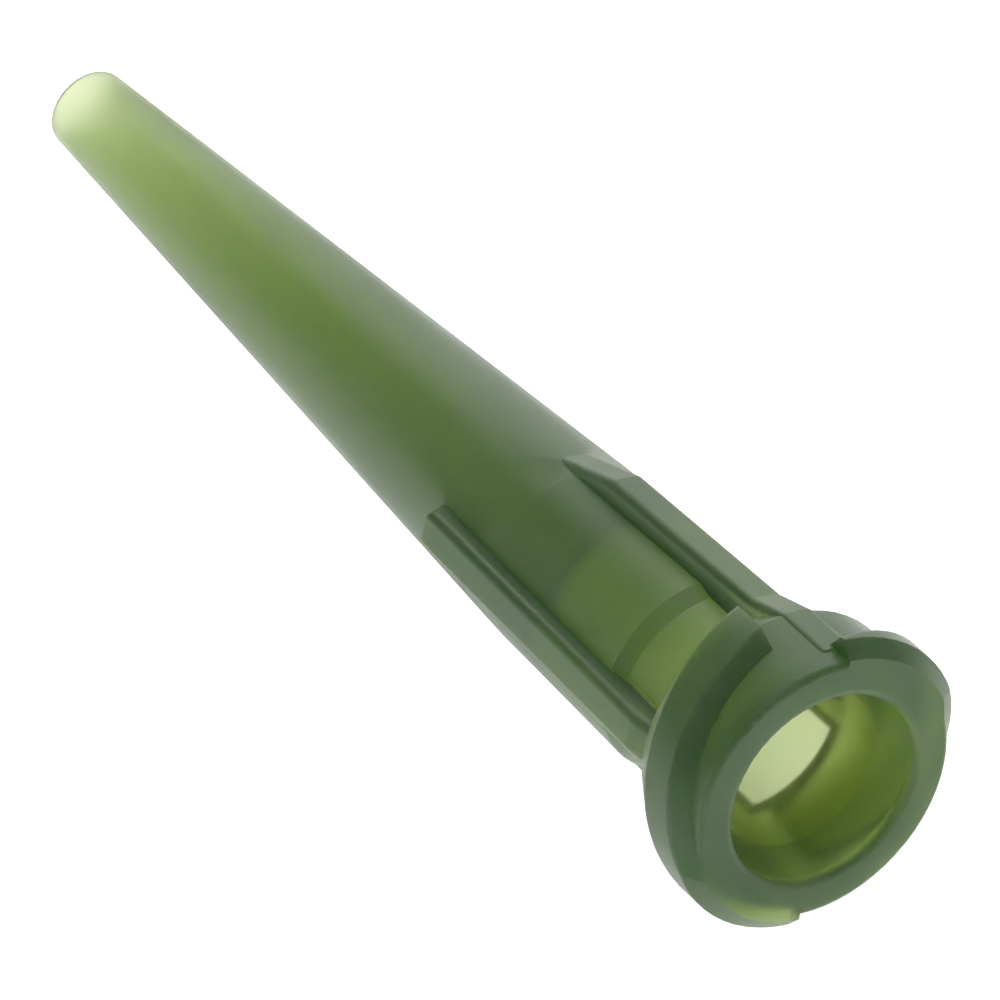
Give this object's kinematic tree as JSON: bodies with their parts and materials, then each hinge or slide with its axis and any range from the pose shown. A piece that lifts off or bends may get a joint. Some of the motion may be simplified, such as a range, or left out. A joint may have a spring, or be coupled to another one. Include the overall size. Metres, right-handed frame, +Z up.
{
  "type": "tapered luer-lock dispensing tip",
  "caption": "Rigid tapered plastic dispensing tip with a female Luer-lock hub, low grip ribs and a long conical nozzle.",
  "frame": {"origin": "centre of the mouth face of the Luer socket", "axes": "+Y along the flow axis from the mouth to the outlet; +Z up as the tip lies on a table on two lug ends; +X completes the right-handed set"},
  "size_m": [0.0076, 0.032, 0.0076],
  "materials": {
    "green_polyethylene": "satin, translucent"
  },
  "bodies": {
    "root": {"tip_moulding": "green_polyethylene"}
  },
  "joints": []
}
